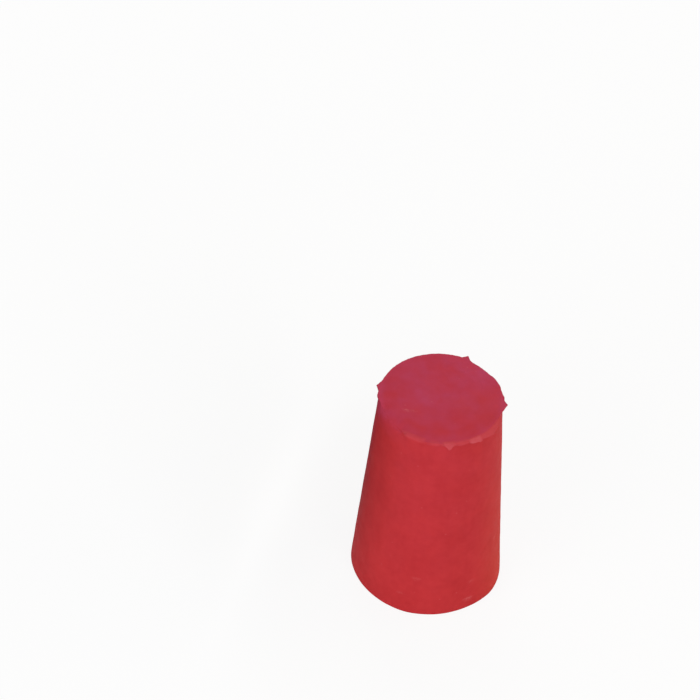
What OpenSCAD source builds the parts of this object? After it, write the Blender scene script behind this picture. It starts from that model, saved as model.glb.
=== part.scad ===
// Tapered rubber stopper for the neck of a laboratory tube or bottle.
// It stands on its wide face with the narrow end up. Sizes are in millimetres.

/* [Body] */
// Diameter at the narrow end, which is pushed into the neck
narrow_d = 13; // [8:0.1:40]
// Diameter at the wide end, which stays outside the neck
wide_d = 16.1; // [9:0.1:50]
// Height from the wide face to the narrow face
height = 25; // [10:0.5:60]

/* [Rims] */
// Rounding between the side and the wide face
wide_rim_r = 0.1; // [0.05:0.05:1.5]
// Rounding between the side and the narrow face, where no flash covers it
narrow_rim_r = 0.4; // [0.1:0.05:1]

/* [Moulding flash] */
// Thickness of the film of flash where it leaves the narrow rim
film_root_t = 0.24; // [0.1:0.02:0.6]
// Thickness of the film at its longest reach
film_edge_t = 0.1; // [0.05:0.01:0.3]
// Angle by which the level film has sunk below the narrow face
level_droop = 4; // [0:1:15]
// Angle by which the hanging flaps have sunk below the narrow face
hanging_droop = 45; // [0:1:60]
// How far the film stands out where it was torn off close
trim_reach = 0.06; // [0.02:0.02:0.4]
// How far the torn edge wanders in and out of that line
ragged = 0.05; // [0:0.01:0.15]
// Reach of the tabs and flaps left on, as a share of those of this stopper
tab_scale = 1; // [0.3:0.1:1.5]

/* [Hidden] */
$fn = 120;

narrow_r = narrow_d / 2;
wide_r = wide_d / 2;

// Tabs left along the torn edge, with azimuths counter-clockwise from +X:
// [azimuth, width in degrees on its near side, on its far side, reach, pointedness].
// Flanks are hollow where pointedness is over 1, and full where it is under 1.
LEVEL_TABS = [
    [-1.5, 12, 4.5, 0.44, 0.9],
    [16.5, 13, 12, 0.07, 0.5],
    [69, 5, 4.5, 0.44, 1.2],
    [169.5, 9, 8, 0.28, 1.4],
    [183, 12, 9, 0.08, 0.5]
];
HANGING_TABS = [
    [-93, 16, 10, 0.06, 0.5],
    [-79.5, 5.5, 5.5, 0.34, 0.8],
    [-66, 16, 12, 0.14, 0.5],
    [-54, 8, 9, 0.28, 0.4],
    [-34.5, 13, 17, 0.26, 0.5]
];
// Stretches of the rim that the flash left bare: [azimuth, half its width in degrees]
BARE_STRETCHES = [[50, 13.5], [219, 38]];
// Degrees over which the film tears away at the end of a bare stretch
bare_fade = 6;
// Degrees between the points of a torn outline
outline_step = 1.5;
// Distance inside the rim's corner at which the film starts to sink
crease_setback = 0.05;
// How far a torn outline dips inside the film's root, to leave nothing there
bare_margin = 0.1;

// Angle between the side and the axis
taper = atan((wide_r - narrow_r) / height);
// Distance along each face from its corner to where the rounding starts:
// the corner at the wide end is sharper than a right angle, the other blunter
wide_setback = wide_rim_r * tan(45 + taper / 2);
narrow_setback = narrow_rim_r * tan(45 - taper / 2);
// Radii of the flat parts of the two faces
wide_face_r = wide_r - wide_setback;
narrow_face_r = narrow_r - narrow_setback;
// Straight steps in the rounding of a rim
rim_steps = 8;

// Radius that the film is turned to before it is cut to its torn outline
all_tabs = concat(LEVEL_TABS, HANGING_TABS);
film_r = narrow_r + trim_reach + ragged + 2 * tab_scale * max([for (tab = all_tabs) tab[3]]);

// Angle from azimuth b to azimuth a, between -180 and 180
function turn_from(a, b) = (a - b + 900) % 360 - 180;

function sum(values) = values * [for (value = values) 1];

// Reach that one tab adds at azimuth a
function tab_reach(a, tab) =
    let (turn = turn_from(a, tab[0]), side_width = turn < 0 ? tab[1] : tab[2])
    tab_scale * tab[3] * pow(max(0, 1 - abs(turn) / side_width), tab[4]);

function tabs_reach(a, tabs) = sum([for (tab = tabs) tab_reach(a, tab)]);

// Small irregular wave along the edge, between -1 and 1
function wander(a) = 0.5 * sin(7 * a + 20) + 0.3 * sin(17 * a + 75) + 0.2 * sin(31 * a);

// Share of the film, from 0 to 1, that is gone at azimuth a
function bareness(a) = max([
    for (stretch = BARE_STRETCHES)
        min(1, max(0, (stretch[1] - abs(turn_from(a, stretch[0]))) / bare_fade))
]);

// Distance that an outline lies inside the rim's corner where the film is gone
gone = narrow_setback + bare_margin;

// Reach of the film beyond the rim's corner where it was torn off close.
// It falls back inside the corner where the rim was left bare.
function close_reach(a) = (1 - bareness(a)) * (trim_reach + ragged * wander(a) + gone) - gone;

// Reach of the hanging flaps at azimuth a
function hanging_reach(a) =
    let (reach = tabs_reach(a, HANGING_TABS))
    reach > 0 ? close_reach(a) + reach : -gone;

// Reach of the level film at azimuth a, which ends inside the crease where flaps hang
function level_reach(a) =
    hanging_reach(a) > 0
    ? -2 * crease_setback
    : close_reach(a) + tabs_reach(a, LEVEL_TABS);

// Points of an arc about a centre, from one angle to another
function arc(centre, r, from, to) = [
    for (i = [0 : rim_steps])
        let (angle = from + (to - from) * i / rim_steps)
            centre + r * [cos(angle), sin(angle)]
];

// Half section of the body: a straight side that runs into the rounding of each rim
module body_profile() {
    polygon(concat(
        [[0, 0]],
        arc([wide_face_r, wide_rim_r], wide_rim_r, -90, taper),
        arc([narrow_face_r, height - narrow_rim_r], narrow_rim_r, taper, 90),
        [[0, height]]
    ));
}

// Half section of the film: level with the narrow face as far as its crease,
// then thinning and sinking by the angle droop
module film_profile(droop) {
    crease_r = narrow_r - crease_setback;
    tip_top = height - (film_r - crease_r) * tan(droop);
    polygon([
        [narrow_face_r, height],
        [narrow_face_r, height - film_root_t],
        [crease_r, height - film_root_t],
        [film_r, tip_top - film_edge_t],
        [film_r, tip_top],
        [crease_r, height]
    ]);
}

// Film of flash turned around the rim and cut to a torn outline,
// which is a list of its reach beyond the rim's corner, step by step
module flash_film(droop, reaches) {
    intersection() {
        rotate_extrude() film_profile(droop);
        linear_extrude(height + 1)
            polygon([
                for (i = [0 : len(reaches) - 1])
                    (narrow_r + reaches[i]) * [cos(i * outline_step), sin(i * outline_step)]
            ]);
    }
}

// The stopper is one moulding, so the flash is fused to the body
module stopper() {
    azimuths = [0 : outline_step : 360 - outline_step];
    color([0.72, 0.20, 0.22]) {
        rotate_extrude() body_profile();
        flash_film(level_droop, [for (a = azimuths) level_reach(a)]);
        flash_film(hanging_droop, [for (a = azimuths) hanging_reach(a)]);
    }
}

stopper();
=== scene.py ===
# %% [markdown]
# # A red rubber stopper
# A stopper of this kind is one solid moulding of soft rubber: a plain taper with a flat face at
# each end. Nothing is joined to it and nothing moves. What makes it look real is small: the
# film of flash that the mould left around the narrow rim, torn off in some places and hanging
# in others, a skin that is matt but not even, and a few scuffs from being handled.
#
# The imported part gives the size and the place. It stands on its wide face, centred on the origin.

# %% Load the fixed frame
import math

import bmesh
import bpy
from mathutils import Matrix, Vector


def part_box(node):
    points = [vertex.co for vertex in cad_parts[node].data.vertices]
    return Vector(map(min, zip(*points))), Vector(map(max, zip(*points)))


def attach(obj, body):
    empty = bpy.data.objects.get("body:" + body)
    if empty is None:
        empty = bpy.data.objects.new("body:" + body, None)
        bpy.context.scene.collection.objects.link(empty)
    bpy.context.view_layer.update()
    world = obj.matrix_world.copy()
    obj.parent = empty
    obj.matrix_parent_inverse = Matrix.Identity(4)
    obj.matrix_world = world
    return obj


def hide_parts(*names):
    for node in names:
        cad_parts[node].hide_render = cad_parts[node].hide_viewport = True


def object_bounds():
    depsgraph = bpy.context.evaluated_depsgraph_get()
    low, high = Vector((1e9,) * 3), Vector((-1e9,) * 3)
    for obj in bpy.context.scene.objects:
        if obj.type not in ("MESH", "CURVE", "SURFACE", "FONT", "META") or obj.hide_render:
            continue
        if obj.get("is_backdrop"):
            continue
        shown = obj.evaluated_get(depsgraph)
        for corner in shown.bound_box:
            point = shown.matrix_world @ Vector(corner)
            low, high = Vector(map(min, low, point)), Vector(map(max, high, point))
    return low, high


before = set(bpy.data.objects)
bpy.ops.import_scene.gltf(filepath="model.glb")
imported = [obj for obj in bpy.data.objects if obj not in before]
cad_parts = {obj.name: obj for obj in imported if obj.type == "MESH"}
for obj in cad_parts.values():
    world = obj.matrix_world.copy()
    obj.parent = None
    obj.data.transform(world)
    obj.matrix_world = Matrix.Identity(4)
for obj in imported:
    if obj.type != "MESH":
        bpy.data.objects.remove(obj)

cad_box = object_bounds()
low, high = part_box("stopper")
MM = 0.001
height = (high.z - low.z) / MM
print("nodes:", sorted(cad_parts), "height %.2f mm" % height)

# %% [markdown]
# ## Camera
# A small object looks natural from a fair distance through a long lens, which keeps its sides
# nearly parallel. A camera can be aimed by a constraint or by three angles. This one is built
# from one matrix, place times tilt times roll, because that leaves no doubt about the order of
# the turns. It looks down at about 45 degrees, and it is rolled a little about its own line of
# sight, so the stopper leans to the left in the picture.

# %% Camera
SENSOR_WIDTH = 36
FOCAL_LENGTH = 282.86
CLIP_START = 0.01

camera_data = bpy.data.cameras.new("camera")
camera_data.sensor_width = SENSOR_WIDTH
camera_data.lens = FOCAL_LENGTH
camera_data.clip_start = CLIP_START
camera = bpy.data.objects.new("camera", camera_data)
bpy.context.scene.collection.objects.link(camera)
camera_place = Vector((-9.90, -400.93, 438.63)) * MM
look_down = math.radians(45.466)
roll = math.radians(4.609)
camera.matrix_world = (
    Matrix.Translation(camera_place)
    @ Matrix.Rotation(math.pi / 2 - look_down, 4, "X")
    @ Matrix.Rotation(roll, 4, "Z")
)
bpy.context.scene.camera = camera
print("camera %.0f mm from the origin" % (camera_place.length / MM))

# %% [markdown]
# ## The taper
# The body is a cone with its point cut off. It could be spun from a profile, but the Cone
# primitive is the same shape in one step. It is added without end faces, because the faces are
# drawn in from the rims later and need a grid of their own. The number of vertices is a multiple
# of four, which lets Grid Fill close a round hole with squares. The rounding of the wide rim
# takes a little off the diameter, and the cone is made that much wider, so that the finished
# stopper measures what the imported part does.

# %% The taper
AROUND = 440
NARROW_R = 6.5
WIDE_RIM_R = 0.1

finished_wide_r = (high.x - low.x) / 2 / MM
half_taper = math.atan((finished_wide_r - NARROW_R) / height) / 2
rim_setback = WIDE_RIM_R * math.tan(math.pi / 4 + half_taper)
wide_r = finished_wide_r + rim_setback - WIDE_RIM_R

bpy.ops.object.select_all(action="DESELECT")
bpy.ops.mesh.primitive_cone_add(
    vertices=AROUND,
    radius1=wide_r * MM,
    radius2=NARROW_R * MM,
    depth=height * MM,
    end_fill_type="NOTHING",
    location=(0, 0, height * MM / 2),
)
stopper = bpy.context.object
stopper.name = "stopper_rubber"
bpy.ops.object.transform_apply(location=True, rotation=True, scale=True)
print("cone: radius %.3f to %.3f mm over %.2f mm" % (wide_r, NARROW_R, height))

# %% [markdown]
# ## Selecting by place
# By hand, rings and bands are picked with the mouse. In a script each vertex is picked by where
# it is, and on a turned shape that is its distance from the axis, its height, and its azimuth,
# the angle around the axis. One helper turns a vertex into these three, and one selects every
# vertex, edge or face whose vertices all pass a test.

# %% Selecting by place
TOLERANCE = 0.01


def place(vertex):
    """Radius in mm, azimuth in degrees and height in mm of a vertex."""
    x, y, z = vertex.co / MM
    return math.hypot(x, y), math.degrees(math.atan2(y, x)), z


def select(kind, test):
    """In edit mode, deselects all, then selects the visible elements whose vertices all pass."""
    bpy.ops.mesh.select_mode(type=kind)
    bpy.ops.mesh.select_all(action="DESELECT")
    mesh = bmesh.from_edit_mesh(stopper.data)
    passed = {v for v in mesh.verts if not v.hide and test(*place(v))}
    if kind == "VERT":
        chosen = passed
    else:
        elements = mesh.edges if kind == "EDGE" else mesh.faces
        chosen = [e for e in elements if not e.hide and passed.issuperset(e.verts)]
    for element in chosen:
        element.select_set(True)
    mesh.select_flush_mode()
    bmesh.update_edit_mesh(stopper.data)
    return len(chosen)


def turned(azimuth, middle):
    """Degrees between two azimuths, the short way round."""
    return abs((azimuth - middle + 180) % 360 - 180)


def near(value, target, within=TOLERANCE):
    """True where a measure in mm is the target, give or take a little."""
    return abs(value - target) < within


bpy.ops.object.mode_set(mode="EDIT")
print("wide rim:", select("EDGE", lambda r, a, z: near(z, 0)), "edges")

# %% [markdown]
# ## The wide rim and face
# The mould leaves the rim of the wide face nearly sharp. The open ring at the bottom is extruded
# inwards to make a first strip of the face, and the corner between the two is bevelled into an
# arc of a tenth of a millimetre. One big polygon could close the rest of the face. A grid of
# squares is used, because it can carry the same gentle unevenness as the side.

# %% The wide rim and face
WIDE_GRID_R = 7.4
RIM_SEGMENTS = 5
SMOOTHING_ROUNDS = 60


def draw_in(radius, new_radius):
    """Extrudes the selected ring inwards, level, from one radius to another."""
    shrink = new_radius / radius
    bpy.ops.mesh.extrude_region()
    bpy.ops.transform.resize(value=(shrink, shrink, 1), center_override=(0, 0, 0))


def close_with_grid(radius, level):
    """Fills the open ring with a grid of squares, and evens out their sizes."""
    select("EDGE", lambda r, a, z: near(r, radius) and near(z, level))
    bpy.ops.mesh.fill_grid(span=AROUND // 4)
    select("VERT", lambda r, a, z: r < radius - TOLERANCE and near(z, level))
    bpy.ops.mesh.vertices_smooth(factor=0.5, repeat=SMOOTHING_ROUNDS)


draw_in(wide_r, WIDE_GRID_R)
select("EDGE", lambda r, a, z: near(r, wide_r) and near(z, 0))
bpy.ops.mesh.bevel(
    offset=rim_setback * MM,
    offset_type="OFFSET",
    segments=RIM_SEGMENTS,
    affect="EDGES",
)
close_with_grid(WIDE_GRID_R, 0)
print("faces after the wide end:", len(bmesh.from_edit_mesh(stopper.data).faces))

# %% [markdown]
# ## The film of flash
# Where the two halves of a mould meet, a little rubber is pressed out between them and sets as a
# thin film. Here it runs around the narrow rim. It could be a sheet of its own, but the real one
# has grown from the body, so it is made from the body's faces: a band as deep as the film's root
# is cut off the top of the side with Bisect and extruded outwards, like a very small brim. At
# first it reaches equally far all round, as if it had been trimmed close.
#
# Its outer ring goes into a vertex group. When the brim is subdivided later, Blender
# interpolates the group's weight, so each vertex then knows how far out on the film it is.

# %% The film of flash
FILM_ROOT_T = 0.24
TRIM_REACH = 0.06

bpy.ops.mesh.select_all(action="SELECT")
bpy.ops.mesh.bisect(plane_co=(0, 0, (height - FILM_ROOT_T) * MM), plane_no=(0, 0, 1))
select("FACE", lambda r, a, z: z > height - FILM_ROOT_T - TOLERANCE)
bpy.ops.mesh.extrude_region()
grow = (NARROW_R + TRIM_REACH) / NARROW_R
bpy.ops.transform.resize(value=(grow, grow, 1), center_override=(0, 0, 0))
film_group = stopper.vertex_groups.new(name="film")
bpy.ops.object.vertex_group_assign()
print("film: %.2f mm thick at its root, reach %.2f mm" % (FILM_ROOT_T, TRIM_REACH))

# %% [markdown]
# ## The narrow face
# The face is flat, but its corner is rounded where the film is gone. A bevel there would have to
# stop and start, so the corner gets the rings it needs now and is rounded later. The inner ring
# of the film is drawn inwards in several steps, which lie close together at the rim and wider
# further in. The middle is closed with a grid as the wide face was.

# %% The narrow face
FACE_STEPS = [6.42, 6.34, 6.25, 6.15, 6.04, 5.92, 5.78, 5.6, 5.4]

select("EDGE", lambda r, a, z: near(r, NARROW_R) and near(z, height))
ring_r = NARROW_R
for step_r in FACE_STEPS:
    draw_in(ring_r, step_r)
    ring_r = step_r
close_with_grid(ring_r, height)
print("rings drawn in on the narrow face:", len(FACE_STEPS))

# %% [markdown]
# ## Rings on the side
# The side is still one tall face per step around. A Subdivision Surface would add rings too, but
# it would also pull the sharp rims round. Subdividing only the tall edges cuts the side into
# rings and leaves its shape alone. They are fine enough for the skin's unevenness and for scuffs
# a few tenths of a millimetre across.

# %% Rings on the side
SIDE_RINGS = 124

bpy.ops.mesh.select_mode(type="EDGE")
bpy.ops.mesh.select_all(action="DESELECT")
mesh = bmesh.from_edit_mesh(stopper.data)
for edge in mesh.edges:
    edge.select_set(edge.calc_length() > height * MM / 2)
mesh.select_flush_mode()
bmesh.update_edit_mesh(stopper.data)
bpy.ops.mesh.subdivide(number_cuts=SIDE_RINGS)
print("faces with side rings:", len(bmesh.from_edit_mesh(stopper.data).faces))

# %% [markdown]
# ## Not quite round
# Soft rubber never cools to a true circle, and the wide end is a little out of round. A lattice
# could bend it as a whole. Proportional editing is more direct: one point of the rim is moved,
# and what lies within the spread of it follows by less the further off it is, so that the side
# bends in a long, soft curve. Two pulls go outwards and two inwards.

# %% Not quite round
HALF_STEP = 180.0 / AROUND
# azimuth, out and spread in mm
OUT_OF_ROUND = [(-27, 0.22, 4.5), (-155, -0.09, 5.0), (-131, -0.07, 4.0), (-99, 0.07, 2.5)]


def pull(azimuth, out, sideways, down, spread, falloff):
    """Moves what is selected, as seen from an azimuth, and drags along what lies near it."""
    turn = math.radians(azimuth)
    outwards = Vector((math.cos(turn), math.sin(turn), 0))
    along = Vector((-math.sin(turn), math.cos(turn), 0))
    bpy.ops.transform.translate(
        value=(outwards * out + along * sideways + Vector((0, 0, -down))) * MM,
        use_proportional_edit=True,
        proportional_edit_falloff=falloff,
        proportional_size=spread * MM,
    )


for azimuth, out, spread in OUT_OF_ROUND:
    select("VERT", lambda r, a, z: turned(a, azimuth) <= HALF_STEP and near(z, WIDE_RIM_R, 0.02))
    pull(azimuth, out, 0, 0, spread, "SMOOTH")
print("pulled out of round in", len(OUT_OF_ROUND), "places")

# %% [markdown]
# ## Tearing the film
# Someone tore most of the film away and left tabs where it would not come. A tab could be cut
# out with Knife, but it would need new faces at its edges. Here each is pulled out of the
# close-trimmed edge with proportional editing, which keeps the mesh closed. A linear falloff
# gives a triangular tooth, a smooth one a rounded tip, and a root or sphere falloff a broad
# flap. A sideways pull makes one flank of a tooth steeper than the other.
#
# Everything but the film's edge is hidden first. Hidden geometry stays where it is, so the
# pulls can't drag the rim of the body along. Level tabs are still held up by the stiffness of
# the film. The thinner ones at the front have gone limp and hang over the rim. The further the
# film reaches, the thinner it was pressed, so its edge is thinned by its reach in the end.

# %% Pulling the tabs
# azimuth, out, sideways, down and spread in mm, falloff
LEVEL_TABS = [
    (-3.5, 0.47, 0.33, 0.03, 0.92, "LINEAR"),
    (7.0, 0.15, 0.0, 0.02, 0.80, "SMOOTH"),
    (22.5, 0.06, 0.0, 0.02, 0.90, "SMOOTH"),
    (68.8, 0.50, -0.04, 0.03, 0.48, "LINEAR"),
    (170.0, 0.39, -0.05, 0.04, 0.66, "LINEAR"),
    (165.5, 0.06, 0.0, 0.02, 0.60, "SMOOTH"),
    (182.0, 0.12, 0.0, 0.04, 0.80, "SMOOTH"),
]
HANGING_TABS = [
    (-94.0, 0.02, 0.0, 0.06, 0.90, "ROOT"),
    (-67.5, 0.08, 0.0, 0.26, 0.90, "ROOT"),
    (-34.0, 0.36, 0.0, 0.64, 1.90, "ROOT"),
    (-53.0, 0.22, 0.0, 0.40, 0.85, "SPHERE"),
    (-79.7, 0.36, 0.0, 0.50, 0.68, "SMOOTH"),
]

bpy.ops.mesh.select_mode(type="VERT")
bpy.ops.mesh.select_all(action="DESELECT")
bpy.ops.object.vertex_group_select()
bpy.ops.mesh.hide(unselected=True)
for tab in LEVEL_TABS + HANGING_TABS:
    select("VERT", lambda r, a, z: turned(a, tab[0]) <= HALF_STEP)
    pull(*tab)
print("tabs:", len(LEVEL_TABS), "level and", len(HANGING_TABS), "hanging")

# %% Thinning the edge
# thickness in mm where the film was trimmed close, and the least there may be
TRIMMED_T = 0.8 * FILM_ROOT_T
EDGE_T = 0.09
# thickness lost for each mm of reach
THINNING = 0.3
# an edge of the mesh is upright when it rises this many times as far as it goes across
UPRIGHT = 2

mesh = bmesh.from_edit_mesh(stopper.data)
thinnest = FILM_ROOT_T
for edge in mesh.edges:
    if edge.hide:
        continue
    lower, upper = sorted(edge.verts, key=lambda v: v.co.z)
    across = math.hypot(upper.co.x - lower.co.x, upper.co.y - lower.co.y)
    if upper.co.z - lower.co.z < UPRIGHT * across:
        continue
    reach = place(upper)[0] - NARROW_R
    thickness = max(EDGE_T, TRIMMED_T - THINNING * reach)
    thinnest = min(thinnest, thickness)
    lower.co.z = upper.co.z - thickness * MM
bmesh.update_edit_mesh(stopper.data)
print("thinnest edge %.2f mm" % thinnest)

# %% [markdown]
# ## Bare stretches
# In two stretches the film came away whole. Deleting it there would leave holes to fill, so its
# edge is scaled back instead until it is flush with the side, again with proportional editing,
# so that the film runs out over a short distance. Then the film is subdivided from root to edge,
# which gives it the rows that it needs to bend and to be ragged.

# %% Bare stretches
# azimuth and half width in degrees, spread in mm
BARE_STRETCHES = [(51, 7, 1.0), (222, 30, 0.6)]
FLUSH_REACH = 0.01

shrink = (NARROW_R + FLUSH_REACH) / (NARROW_R + TRIM_REACH)
for middle, half, spread in BARE_STRETCHES:
    select("VERT", lambda r, a, z: turned(a, middle) < half)
    bpy.ops.transform.resize(
        value=(shrink, shrink, 1),
        center_override=(0, 0, 0),
        use_proportional_edit=True,
        proportional_edit_falloff="SMOOTH",
        proportional_size=spread * MM,
    )
bpy.ops.mesh.reveal(select=False)
print("bare stretches:", len(BARE_STRETCHES))

# %% Subdividing the film
FILM_ROWS = 5

bpy.ops.mesh.select_mode(type="EDGE")
bpy.ops.mesh.select_all(action="DESELECT")
mesh = bmesh.from_edit_mesh(stopper.data)
weights = mesh.verts.layers.deform.active
for edge in mesh.edges:
    ends_on_edge = [film_group.index in v[weights] for v in edge.verts]
    edge.select_set(ends_on_edge[0] != ends_on_edge[1])
mesh.select_flush_mode()
bmesh.update_edit_mesh(stopper.data)
bpy.ops.mesh.subdivide(number_cuts=FILM_ROWS)
print("faces with film rows:", len(bmesh.from_edit_mesh(stopper.data).faces))

# %% [markdown]
# ## Softening the crease
# So far the film starts from a sharp crease around the face, but rubber bends in a soft curve. A
# bevel would only cut the crease into smaller ones, so the rows on either side of it are smoothed
# together. The torn edge and the underside stay out of it: they are told apart by the vertex
# group and by which way they face.

# %% Softening the crease
CREASE_R = 6.1
FACING_UP = 0.3
FULL_WEIGHT = 0.99
CREASE_ROUNDS = 10

bpy.ops.mesh.select_mode(type="VERT")
bpy.ops.mesh.select_all(action="DESELECT")
mesh = bmesh.from_edit_mesh(stopper.data)
mesh.normal_update()
weights = mesh.verts.layers.deform.active
for vertex in mesh.verts:
    on_edge = vertex[weights].get(film_group.index, 0) > FULL_WEIGHT
    on_top = place(vertex)[0] > CREASE_R and vertex.normal.z > FACING_UP
    vertex.select_set(on_top and not on_edge)
bmesh.update_edit_mesh(stopper.data)
bpy.ops.mesh.vertices_smooth(factor=0.5, repeat=CREASE_ROUNDS)
print("vertices smoothed:", sum(v.select for v in mesh.verts))

# %% [markdown]
# ## Back to object mode, and a first check
# A mesh that is printed, weighed or simulated has to be closed: each edge joins exactly two
# faces. That is counted here, after the last operator that adds geometry, and the faces are all
# turned outwards. From here on vertices only move.

# %% Closing up
bpy.ops.mesh.select_all(action="SELECT")
bpy.ops.mesh.normals_make_consistent(inside=False)
bpy.ops.object.mode_set(mode="OBJECT")


def open_edges(thing):
    """How many edges of a mesh do not join exactly two faces."""
    mesh = bmesh.new()
    mesh.from_mesh(thing.data)
    count = sum(1 for edge in mesh.edges if not edge.is_manifold)
    mesh.free()
    return count


print("open edges:", open_edges(stopper))

# %% [markdown]
# ## Rounding the bare corner
# Where no film is left, the corner shows: crisp at the back, softer at the front left, and worn
# over a millimetre and a half at the left. Bevel would need a corner of plain edges, and the
# flush film still crosses this one. So each vertex that stands outside the arc is moved
# straight onto it, fully in the middle of the stretch and less towards its ends.

# %% Rounding the bare corner
# azimuth and half width in degrees, radius in mm, degrees over which it fades
ROUNDED = [(50, 16, 0.22, 6), (213, 29, 1.5, 14), (-117, 20, 0.5, 8)]

taper = math.atan((wide_r - NARROW_R) / height)


def eased(share):
    """A share from 0 to 1, eased at both ends."""
    share = min(1.0, max(0.0, share))
    return share * share * (3 - 2 * share)


def around(azimuth, middle, half, fade):
    """1 about the middle azimuth, easing to 0 at half the width to either side of it."""
    return eased((half - turned(azimuth, middle)) / fade)


def round_off(vertex, middle, half, radius, fade):
    """Moves a vertex that stands outside the arc of a rounding onto it. True where it did."""
    r, azimuth, z = place(vertex)
    weight = around(azimuth, middle, half, fade)
    centre_r = NARROW_R - radius * math.tan(math.pi / 4 - taper / 2)
    centre_z = height - radius
    away = math.hypot(r - centre_r, z - centre_z)
    angle = math.atan2(z - centre_z, r - centre_r)
    outside = weight > 0 and away > radius and taper < angle < math.pi / 2
    if outside:
        pull_in = 1 - weight * (1 - radius / away)
        new_r = centre_r + (r - centre_r) * pull_in
        vertex.co.x *= new_r / r
        vertex.co.y *= new_r / r
        vertex.co.z = (centre_z + (z - centre_z) * pull_in) * MM
    return outside


moved = sum(round_off(vertex, *row) for vertex in stopper.data.vertices for row in ROUNDED)
print("vertices moved onto the rounding:", moved)

# %% [markdown]
# ## An uneven skin
# Soft rubber leaves a mould with a surface that is nearly, but not quite, true. It could be
# sculpted, but Displace modifiers with procedural cloud textures do it evenly all over: a slow
# wave of a few hundredths of a millimetre, and a faint finer one. The film gets its own, which
# shifts it in all three directions at once, so that its torn edge is ragged but its two sides
# stay apart. The vertex group limits that one to the film, most at its edge.

# %% An uneven skin
# size and strength in mm
SKIN_WAVES = [(4.0, 0.08), (1.1, 0.02)]
FILM_WAVES = [(0.5, 0.08), (0.16, 0.04)]


def roughen(size, strength, direction="NORMAL", group=""):
    """Applies a Displace modifier with a cloud texture. Size and strength are in mm."""
    texture = bpy.data.textures.new("clouds_%g" % size, "CLOUDS")
    texture.noise_scale = size * MM
    texture.noise_depth = 2
    texture.cloud_type = "COLOR" if direction == "RGB_TO_XYZ" else "GRAYSCALE"
    bpy.ops.object.modifier_add(type="DISPLACE")
    modifier = stopper.modifiers[-1]
    modifier.texture = texture
    modifier.texture_coords = "LOCAL"
    modifier.direction = direction
    modifier.strength = strength * MM
    modifier.mid_level = 0.5
    modifier.vertex_group = group
    bpy.ops.object.modifier_apply(modifier=modifier.name)


bpy.ops.object.select_all(action="DESELECT")
stopper.select_set(True)
bpy.context.view_layer.objects.active = stopper
for wave in SKIN_WAVES:
    roughen(*wave)
for wave in FILM_WAVES:
    roughen(*wave, "RGB_TO_XYZ", "film")
levels = [vertex.co.z / MM for vertex in stopper.data.vertices]
print("highest point %.3f mm, lowest %.3f mm" % (max(levels), min(levels)))

# %% Smooth shading and measures
# edges that bend by fewer degrees than this are shaded smooth
SMOOTH_BELOW = 50

bpy.ops.object.shade_smooth_by_angle(angle=math.radians(SMOOTH_BELOW))
stopper.data.calc_loop_triangles()
print("triangles:", len(stopper.data.loop_triangles), "open edges:", open_edges(stopper))

# %% [markdown]
# ## Marks of use
# The film is paler where it was torn, and along the front of the rim that paleness also carries a
# painted highlight, where the rounded rim would catch the light. The side is scuffed near its foot,
# and two flecks lie on the narrow face. Such marks could be painted on an image, which would need
# the mesh to be unwrapped. This mesh is fine enough to hold them itself, as vertex attributes: a
# number from 0 to 1 at each vertex, put there as with a soft brush, which the material reads.

# %% Torn strips with a painted highlight
# height in mm below which no film hangs, counted down from the narrow face
LOWEST_FILM = 1.6
# how far the film stands out from the side, and how deep the rim is where it counts as film
STANDING_OUT = 0.03
RIM_DEPTH = 0.35
# mm over which a strip grows to its full strength
STRIP_FADE = 0.35
# azimuth, half width and fade in degrees, radius it starts from, strength, along the narrow rim
# each strip is the paleness of torn film together with a painted highlight on the rounded rim
TORN_AND_HIGHLIGHT = [
    (-116, 18, 10, 5.9, 0.35),
    (-93, 8, 6, 6.1, 0.3),
    (-79.7, 9, 6, 6.1, 0.65),
    (-67, 10, 6, 6.15, 0.35),
    (-54, 9, 5, 6.25, 0.95),
    (-33, 20, 9, 6.3, 0.5),
]


def paint(name, strength_at):
    """Stores strength_at(vertex), limited to 0 to 1, as a vertex attribute."""
    attribute = stopper.data.attributes.new(name, "FLOAT", "POINT")
    values = [min(1.0, max(0.0, strength_at(v))) for v in stopper.data.vertices]
    attribute.data.foreach_set("value", values)
    print("%s: painted on %d vertices" % (name, sum(1 for v in values if v > 0)))


def side_radius(z):
    """Radius of the plain taper at a height."""
    return wide_r + (NARROW_R - wide_r) * z / height


def torn_at(vertex):
    """The pale strips along the narrow rim, from where they start out to the edge of the film:
    paleness of the tears and a painted highlight.
    """
    r, azimuth, z = place(vertex)
    on_film = r > side_radius(z) + STANDING_OUT or z > height - RIM_DEPTH
    strength = 0
    if z > height - LOWEST_FILM and on_film:
        for middle, half, fade, start_r, amount in TORN_AND_HIGHLIGHT:
            across = around(azimuth, middle, half, fade)
            strength = max(strength, amount * across * eased((r - start_r) / STRIP_FADE))
    return strength


paint("torn", torn_at)

# %% Scuffs and flecks
# azimuth, height and radius in mm, strength, on the side
SCUFFS = [
    (-97, 5.2, 0.35, 0.3),
    (-108.5, 2.6, 0.30, 0.25),
    (-53, 1.3, 0.40, 0.7),
    (-51, 3.7, 0.30, 0.3),
    (-21, 7.4, 0.35, 0.5),
]
# x, y, half length and half width in mm, strength, on the narrow face
FLECKS = [
    (-3.7, -2.0, 0.32, 0.22, 0.36),
    (-3.1, -2.15, 0.80, 0.24, 0.35),
]
# distances along the side count for less and those up it for more, so scuffs are wide and low
COUNT_ALONG = 0.6
COUNT_UP = 1.5
# how far in from the side, and down from the narrow face, a vertex still belongs to it, in mm
SIDE_SKIN = 0.2
FACE_SKIN = 0.3
# a dab is full up to 0.3 of its radius and fades out at 1.3
DAB_END = 1.3


def dabbed(distance):
    """Strength of a dab of the brush at a distance of so many times its radius."""
    return eased(DAB_END - distance)


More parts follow.
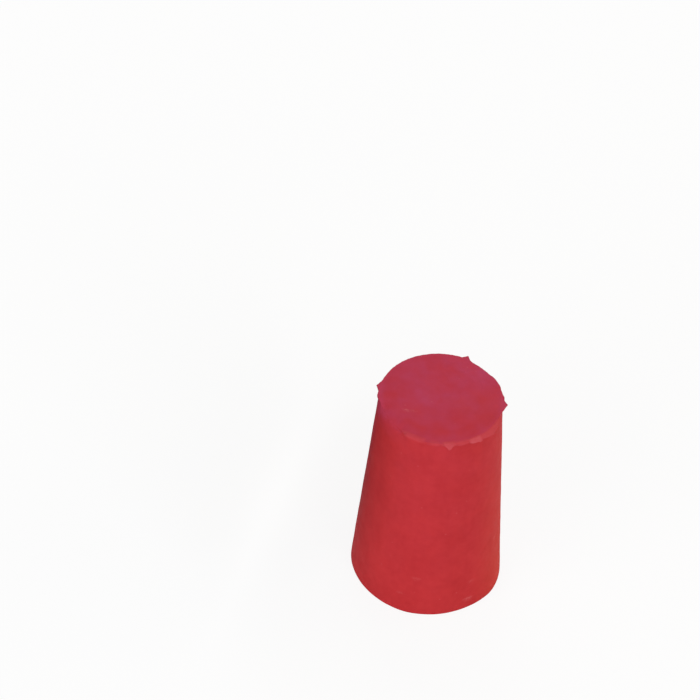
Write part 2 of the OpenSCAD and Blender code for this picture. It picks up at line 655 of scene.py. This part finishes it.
def scuffed_at(vertex):
    """Scuffs on the side, and flecks on the narrow face."""
    r, azimuth, z = place(vertex)
    x, y = vertex.co.xy / MM
    strength = 0
    if r > side_radius(z) - SIDE_SKIN:
        for middle, level, radius, amount in SCUFFS:
            along = math.radians(turned(azimuth, middle)) * r * COUNT_ALONG
            strength += amount * dabbed(math.hypot(along, (z - level) * COUNT_UP) / radius)
    if z > height - FACE_SKIN:
        for fleck_x, fleck_y, length, width, amount in FLECKS:
            strength += amount * dabbed(math.hypot((x - fleck_x) / length, (y - fleck_y) / width))
    return strength


paint("scuffed", scuffed_at)

# %% [markdown]
# ## Bloom, painted sheen and painted warm light
# Wax and sulphur creep out of red rubber and lie on it as a mauve bloom. The mauve painted here is
# that bloom together with a painted sheen: the cool light that the level faces reflect from above
# and behind. It is full on the two faces, and patchy. It runs over the worn edge at the left,
# where it becomes a painted reflection down the left edge of the side. Only a trace of it is left
# on the rest of the side, most near the narrow end. Noise alone could break it up, but the large
# patches are painted one by one, and the small ones are left to noise. The right of the side is
# painted a little orange for the warm light that falls on it from the right, most low down.

# %% Bloom and painted sheen
FACE_BLOOM_AND_SHEEN = 0.77
# azimuth and half width in degrees, radius and half depth in mm, more (or less) bloom and painted
# sheen there
BLOOM_AND_SHEEN_PATCHES = [
    (-62, 42, 5.6, 1.3, -0.16),
    (-57, 16, 5.6, 0.7, -0.10),
    (-15, 60, 4.6, 2.2, -0.10),
    (-172, 18, 5.3, 1.0, -0.22),
    (-88, 16, 4.4, 1.2, -0.10),
    (-90, 75, 3.6, 2.2, -0.18),
    (-121, 22, 5.6, 1.5, -0.30),
    (-11, 30, 5.1, 1.5, -0.20),
    (168, 22, 5.0, 1.5, -0.22),
    (59, 20, 5.6, 1.5, 0.22),
    (101, 14, 5.2, 1.5, -0.20),
    (18, 30, 3.2, 1.5, -0.10),
    (180, 80, 1.5, 1.8, 0.15),
]
# azimuth, half width and fade in degrees, strength
# the worn corner and below the left edge: the bloom and painted sheen reach over the rim there
WORN_CORNER = (-172, 30, 15, 0.2)
BELOW_LEFT_EDGE = (-160, 45, 15, 0.3)
BELOW_LEFT_TAB = (-174, 18, 12, 0.6)
# a painted reflection up the left edge of the side, and a stretch of the side with less of the trace
PAINTED_LEFT_REFLECTION = (-178, 20, 16, 0.2)
TRACE_GAP_AT_LEFT = (-146, 28, 18, 0.8)
# the right of the side, where warm light is painted and the painted sheen reaches higher
LIT_SIDE = (-8, 48, 44, 1)
# how far down the bloom and painted sheen reach below the edge, and over how much of that they fade,
# in mm
EDGE_DEPTH = 2.8
EDGE_FADE = 1.9
# how level the surface has to be for the bloom and painted sheen to start, and over how much more they
# grow full
LEVEL_FROM = 0.3
LEVEL_OVER = 0.65
# the trace on the side at its foot, and what its height adds
FOOT_TRACE = 0.02
TOP_TRACE = 0.10
# how much faster the bloom and painted sheen go than the torn strips with their painted highlight grow
TORN_CLEARS = 1.5


def locally(azimuth, middle, half, fade, strength):
    """Strength at an azimuth of a mark that lies on one stretch of the way round."""
    return strength * around(azimuth, middle, half, fade)


def on_face(vertex, azimuth):
    """1 on the two faces, where the bloom and painted sheen lie, and 0 on the side and on the pale
    strips, eased over the rims.
    """
    flatness = abs(vertex.normal.z) + locally(azimuth, *WORN_CORNER)
    intact = 1 - min(1, TORN_CLEARS * torn_at(vertex))
    return eased((flatness - LEVEL_FROM) / LEVEL_OVER) * intact


def trace_on_side(azimuth, z):
    """The little bloom and painted sheen left on the side, with a painted reflection up its left edge.
    """
    trace = FOOT_TRACE + TOP_TRACE * z / height * (1 + locally(azimuth, *LIT_SIDE))
    trace += z / height * locally(azimuth, *PAINTED_LEFT_REFLECTION)
    return trace * (1 - locally(azimuth, *TRACE_GAP_AT_LEFT))


def patches_at(r, azimuth):
    """What the painted patches add to the bloom and painted sheen or take from it."""
    return sum(
        amount * eased(2 - 2 * turned(azimuth, middle) / half) * eased(2 - 2 * abs(r - ring_r) / depth)
        for middle, half, ring_r, depth, amount in BLOOM_AND_SHEEN_PATCHES
    )


def bloom_and_sheen_at(vertex):
    """The bloom and painted sheen on the faces and below their left edge, or the trace of it where
    that is more.
    """
    r, azimuth, z = place(vertex)
    face = on_face(vertex, azimuth)
    at_left = locally(azimuth, *BELOW_LEFT_EDGE) + locally(azimuth, *BELOW_LEFT_TAB)
    below_edge = (1 - face) * at_left * eased((z - height + EDGE_DEPTH) / EDGE_FADE)
    bloom = (face + below_edge) * (FACE_BLOOM_AND_SHEEN + patches_at(r, azimuth))
    return max(trace_on_side(azimuth, z), bloom)


paint("bloom_and_sheen", bloom_and_sheen_at)

# %% Painted warm light
WARM_LIGHT_LESS_AT_TOP = 0.75


def painted_warm_light_at(vertex):
    """Painted warm light on the right of the side, most low down."""
    r, azimuth, z = place(vertex)
    return (1 - WARM_LIGHT_LESS_AT_TOP * z / height) * locally(azimuth, *LIT_SIDE)


paint("painted_warm_light", painted_warm_light_at)

# %% [markdown]
# ## The finish: matt red rubber
# Red stopper rubber is natural rubber with a red pigment and a lot of chalk. It is matt, and
# nearly one colour, but never quite. Each thing that breaks the colour up is a node of its own
# size: slow clouds from uneven mixing, a fine mottle, faint streaks along the side from being
# pushed out of the mould, and a tone that darkens towards the narrow end. Over these lie what
# the attributes hold: an orange painted for the warm light on the right, then the bloom with
# its painted sheen, the scuffs, and the torn strips with their painted highlight, with a noise to
# break up each of these last three. Sparse specks of dust and chalk go between them. One
# noise could vary the colour too, but real rubber varies at several sizes at once. All sizes are
# in millimetres of the object's own coordinates, so the pattern stays with the rubber.
#
# A few helpers keep the node code readable: one adds a node, one a noise of a given grain.

# %% The finish, helpers
SHEEN = 0.06

material = bpy.data.materials.new("matt_red_rubber")
material.use_nodes = True
nodes = material.node_tree.nodes
links = material.node_tree.links
rubber = nodes["Principled BSDF"]
rubber.inputs["Specular IOR Level"].default_value = SHEEN


def fill(socket, value):
    """Links another node's socket to this one, or sets its value."""
    if isinstance(value, bpy.types.NodeSocket):
        links.new(value, socket)
    else:
        socket.default_value = value


def node(kind, *by_number, **by_name):
    """Adds a shader node and fills its inputs, the first ones in order and others by name."""
    made = nodes.new("ShaderNode" + kind)
    for number, value in enumerate(by_number):
        fill(made.inputs[number], value)
    for name, value in by_name.items():
        fill(made.inputs[name], value)
    return made


def stretched(vector, scale):
    """The coordinates times a scale for each axis."""
    return node("Mapping", Vector=vector, Scale=scale).outputs["Vector"]


def noise(vector, grain, detail=3.0, roughness=0.5):
    """A noise from about 0 to 1 whose patches are about a grain of so many mm across."""
    made = node("TexNoise", Vector=vector, Scale=1 / grain, Detail=detail, Roughness=roughness)
    return made.outputs["Fac"]


def ranged(value, low_in, high_in, low_out, high_out):
    """A value taken from one range to another, and kept inside it."""
    return node("MapRange", value, low_in, high_in, low_out, high_out).outputs["Result"]


def maths(operation, first, second):
    """One sum or product of two values."""
    made = node("Math", first, second)
    made.operation = operation
    return made.outputs["Value"]


def tinted(color, factor, other):
    """A colour mixed towards another by a factor."""
    made = nodes.new("ShaderNodeMix")
    made.data_type = "RGBA"
    for socket, value in zip((made.inputs[0], made.inputs[6], made.inputs[7]), (factor, color, other)):
        fill(socket, value)
    return made.outputs[2]


def marked(name):
    """A vertex attribute painted on the mesh."""
    made = nodes.new("ShaderNodeAttribute")
    made.attribute_name = name
    return made.outputs["Fac"]


in_mm = stretched(nodes.new("ShaderNodeTexCoord").outputs["Object"], (1 / MM, 1 / MM, 1 / MM))
torn = marked("torn")
scuffed = marked("scuffed")
print("material:", material.name)

# %% The finish, colour of the rubber, with painted warm light
DEEP_RED = (0.450, 0.0245, 0.0285, 1)
RED = (0.525, 0.0330, 0.0375, 1)
# an orange painted for the warm light that falls on the right of the side
WARM_LIGHT_RED = (0.640, 0.095, 0.045, 1)
WARM_LIGHT_SHARE = 0.25
# nearly all of a noise lies between these
MOST = (0.3, 0.7)
# how much of the way from deep red to red each takes
CLOUDS_SHARE = 0.55
MOTTLE_SHARE = 0.3
STREAKS_SHARE = 0.15
UPWARD_DARKENING_SHARE = 0.14

clouds = noise(in_mm, 3.2, 3)
mottle = noise(in_mm, 0.8, 4)
streaks = noise(stretched(in_mm, (1, 1, 0.06)), 0.7, 2)
uneven = maths("ADD", ranged(clouds, *MOST, 0, CLOUDS_SHARE), ranged(mottle, *MOST, 0, MOTTLE_SHARE))
uneven = maths("ADD", uneven, ranged(streaks, 0.35, 0.65, 0, STREAKS_SHARE))
level = node("SeparateXYZ", Vector=in_mm).outputs["Z"]
# the colour goes darker towards the narrow end and lighter towards the wide one
darker_upwards = ranged(level, 0, height, UPWARD_DARKENING_SHARE, -UPWARD_DARKENING_SHARE)
color = tinted(DEEP_RED, maths("ADD", uneven, darker_upwards), RED)
color = tinted(color, maths("MULTIPLY", marked("painted_warm_light"), WARM_LIGHT_SHARE), WARM_LIGHT_RED)
print("colour nodes so far:", len(nodes))

# %% The finish, colour of what lies on it, with painted sheen and painted highlight
BLOOM_AND_SHEEN_PINK = (0.468, 0.051, 0.112, 1)
TORN_AND_HIGHLIGHT_PINK = (0.572, 0.083, 0.103, 1)
DUST = (0.640, 0.160, 0.170, 1)
# places for a speck along each mm, and the share of a place where one is full and where it ends
PLACES_PER_MM = 1.1
SPECK = (0.04, 0.12)
# each place has a number from 0 to 1: below the first there is no speck, above the second one
SPECK_NUMBERS = (0.78, 0.8)
SPECK_STRENGTH = 0.2

# bloom and painted sheen: a mauve over the level faces and down the left edge
bloom_and_sheen_grain = ranged(noise(in_mm, 2.4, 4, 0.55), *MOST, 0.5, 1.05)
color = tinted(color, maths("MULTIPLY", marked("bloom_and_sheen"), bloom_and_sheen_grain), BLOOM_AND_SHEEN_PINK)

cells = node("TexVoronoi", Vector=in_mm, Scale=PLACES_PER_MM)
speck = ranged(cells.outputs["Distance"], *SPECK, 1, 0)
place_number = node("SeparateColor", Color=cells.outputs["Color"]).outputs[0]
rare = ranged(place_number, *SPECK_NUMBERS, 0, SPECK_STRENGTH)
color = tinted(color, maths("MULTIPLY", speck, rare), DUST)

scuff_grain = ranged(noise(in_mm, 0.22, 3, 0.7), 0.4, 0.6, 0.1, 0.7)
color = tinted(color, maths("MULTIPLY", scuffed, scuff_grain), DUST)
# the torn strips: paleness of torn film and a painted highlight on the rounded rim
torn_grain = ranged(noise(in_mm, 0.5, 4, 0.6), *MOST, 0.7, 1)
color = tinted(color, maths("MULTIPLY", torn, torn_grain), TORN_AND_HIGHLIGHT_PINK)
links.new(color, rubber.inputs["Base Color"])
print("colour nodes:", len(nodes))

# %% [markdown]
# ## The finish: roughness and grain
# Matt rubber still has a soft sheen, and it varies. The torn and the scuffed places scatter
# light more. The grain could be displaced as the skin was, but it is far finer than the mesh.
# So a fine grain and a shallow orange peel, a few thousandths of a millimetre deep, go into the
# bump, which tilts the shading without moving the surface.

# %% The finish, roughness and grain
LEAST_ROUGH = 0.66
MOST_ROUGH = 0.78
TORN_ROUGHER = 0.15
SCUFFED_ROUGHER = 0.12
PEEL_DEPTH = 0.006
GRAIN_DEPTH = 0.003

rough = ranged(noise(in_mm, 0.9, 4, 0.6), *MOST, LEAST_ROUGH, MOST_ROUGH)
rough = maths("ADD", rough, maths("MULTIPLY", torn, TORN_ROUGHER))
rough = maths("ADD", rough, maths("MULTIPLY", scuffed, SCUFFED_ROUGHER))
links.new(rough, rubber.inputs["Roughness"])

peel = node("Bump", Height=noise(in_mm, 0.5, 2), Strength=1.0, Distance=PEEL_DEPTH * MM)
grain = node("Bump", Height=noise(in_mm, 0.09, 3, 0.6), Strength=1.0, Distance=GRAIN_DEPTH * MM)
links.new(peel.outputs["Normal"], grain.inputs["Normal"])
links.new(grain.outputs["Normal"], rubber.inputs["Normal"])
stopper.data.materials.append(material)
print("nodes in the finish:", len(nodes))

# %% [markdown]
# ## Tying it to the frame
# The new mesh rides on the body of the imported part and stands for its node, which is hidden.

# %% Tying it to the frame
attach(stopper, "root")
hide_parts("stopper")
print(stopper.name, "stands for the node stopper")

# %% [markdown]
# ## Floor
# A studio sweep is white paper that hangs down behind and curves out under the object. Lit
# plainly it would come out light grey, and more light would bleach the stopper too. So most of
# what the camera sees of it is a plain white that gives no light, and the rest is the paper
# itself, which keeps the soft shadow. Away from the stopper the plain white takes over, so the
# floor runs into the backdrop with no horizon.

# %% Floor
# just below the lowest point of the uneven skin, in mm
FLOOR_LEVEL = -0.04
PAPER_WHITE = (0.9, 0.9, 0.9, 1)
# share of plain white near the stopper, how far that reaches, and where there is nothing else
WHITE_SHARE = 0.88
SHADOW_REACH = 60
ALL_WHITE_FROM = 300

bpy.ops.mesh.primitive_plane_add(size=6, location=(0, 0, FLOOR_LEVEL * MM))
floor = bpy.context.object
floor.name = "floor"
bpy.ops.object.transform_apply(location=True)
paper = bpy.data.materials.new("white_paper")
paper.use_nodes = True
nodes = paper.node_tree.nodes
links = paper.node_tree.links
plain = nodes["Principled BSDF"]
plain.inputs["Base Color"].default_value = PAPER_WHITE
plain.inputs["Roughness"].default_value = 0.9
plain.inputs["Specular IOR Level"].default_value = 0.1


def seen_directly(direct_share):
    """A share where a camera, glossy or transmission ray looks, and nothing where light falls."""
    ways = nodes.new("ShaderNodeLightPath").outputs
    seen = maths("MAXIMUM", ways["Is Camera Ray"], ways["Is Glossy Ray"])
    seen = maths("MAXIMUM", seen, ways["Is Transmission Ray"])
    return maths("MULTIPLY", seen, direct_share)


from_middle = node("VectorMath", nodes.new("ShaderNodeTexCoord").outputs["Object"])
from_middle.operation = "LENGTH"
distance = from_middle.outputs["Value"]
share = ranged(distance, SHADOW_REACH * MM, ALL_WHITE_FROM * MM, WHITE_SHARE, 1.0)
white = node("Emission", Color=(1, 1, 1, 1), Strength=1.0)
mixed = node("MixShader", seen_directly(share), plain.outputs[0], white.outputs[0])
links.new(mixed.outputs[0], nodes["Material Output"].inputs["Surface"])
floor.data.materials.append(paper)
floor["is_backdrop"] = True
print("floor at %.2f mm, shadow kept to %d mm" % (FLOOR_LEVEL, SHADOW_REACH))

# %% [markdown]
# ## Light
# A matt object wants plain soft light at a level at which a colour comes out about as it is
# written. An even white world fills the shadows, and what the camera sees of it is full white.
# A sun would be simpler, but its edges are hard, so the shape comes from large square lamps
# close by: two in front, which are the strongest, and two behind, which keep the back from going
# dark. One at the right is low and warm.

# %% Light
AMBIENT = 0.4

world = bpy.data.worlds.new("studio")
bpy.context.scene.world = world
world.use_nodes = True
nodes = world.node_tree.nodes
links = world.node_tree.links
ambient = nodes["Background"]
ambient.inputs["Color"].default_value = (1, 1, 1, 1)
ambient.inputs["Strength"].default_value = AMBIENT
backdrop = node("Background", Color=(1, 1, 1, 1), Strength=1.0)
mixed = node("MixShader", seen_directly(1.0), ambient.outputs[0], backdrop.outputs[0])
links.new(mixed.outputs[0], nodes["World Output"].inputs["Surface"])


def softbox(name, azimuth, elevation, distance, size, power, color):
    """A square area light that faces the middle of the stopper. Distance and size in metres."""
    data = bpy.data.lights.new(name, "AREA")
    data.size = size
    data.energy = power
    data.color = color
    lamp = bpy.data.objects.new(name, data)
    bpy.context.scene.collection.objects.link(lamp)
    turn, rise = math.radians(azimuth), math.radians(elevation)
    aim = Vector((0, 0, height * MM / 2))
    away = Vector((math.cos(turn) * math.cos(rise), math.sin(turn) * math.cos(rise), math.sin(rise)))
    lamp.location = aim + away * distance
    lamp.rotation_euler = away.to_track_quat("Z", "Y").to_euler()
    print("%s: %.2f W at azimuth %d, elevation %d" % (name, power, azimuth, elevation))


softbox("front", -68, 36, 0.9, 0.6, 2.85, (1, 1, 1))
softbox("front_left", -136, 30, 0.9, 0.6, 2.95, (1, 1, 1))
softbox("back", 90, 50, 0.9, 0.8, 1.0, (1, 0.95, 1))
softbox("behind", 105, 12, 0.9, 0.6, 2.4, (1, 1, 1))
softbox("right", 18, 12, 0.9, 0.5, 2.2, (1, 0.86, 0.45))

bpy.context.scene.view_settings.view_transform = "Standard"

# %% [markdown]
# ## A black card
# On a white sweep light comes from all sides, and a round object loses its shape. Dimming the
# lamps on one side would dim the whole of that side. A small black card close to the object
# takes light away from one edge only. This one stands at the back left and is hidden from the
# camera, so no view shows it.

# %% A black card
CARD = 27
CARD_AWAY = 18
CARD_LEVEL = 17.5
CARD_BLACK = (0.02, 0.02, 0.02, 1)

card_turn = math.radians(166)
card_place = Vector((math.cos(card_turn) * CARD_AWAY, math.sin(card_turn) * CARD_AWAY, CARD_LEVEL))
bpy.ops.mesh.primitive_plane_add(
    size=CARD * MM,
    location=card_place * MM,
    rotation=(0, math.pi / 2, card_turn),
)
card = bpy.context.object
card.name = "black_card"
bpy.ops.object.transform_apply(location=True, rotation=True)
black = bpy.data.materials.new("black_card")
black.use_nodes = True
black.node_tree.nodes["Principled BSDF"].inputs["Base Color"].default_value = CARD_BLACK
card.data.materials.append(black)
card.visible_camera = False
card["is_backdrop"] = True
print("card: %d mm across, %d mm from the axis" % (CARD, CARD_AWAY))

# %% [markdown]
# ## Size
# The looks must not change the size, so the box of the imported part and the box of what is
# shown are written down side by side.

# %% Size
visual_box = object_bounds()
for name, box in (("packed part", cad_box), ("shown", visual_box)):
    print(name, [[round(c / MM, 2) for c in corner] for corner in box])
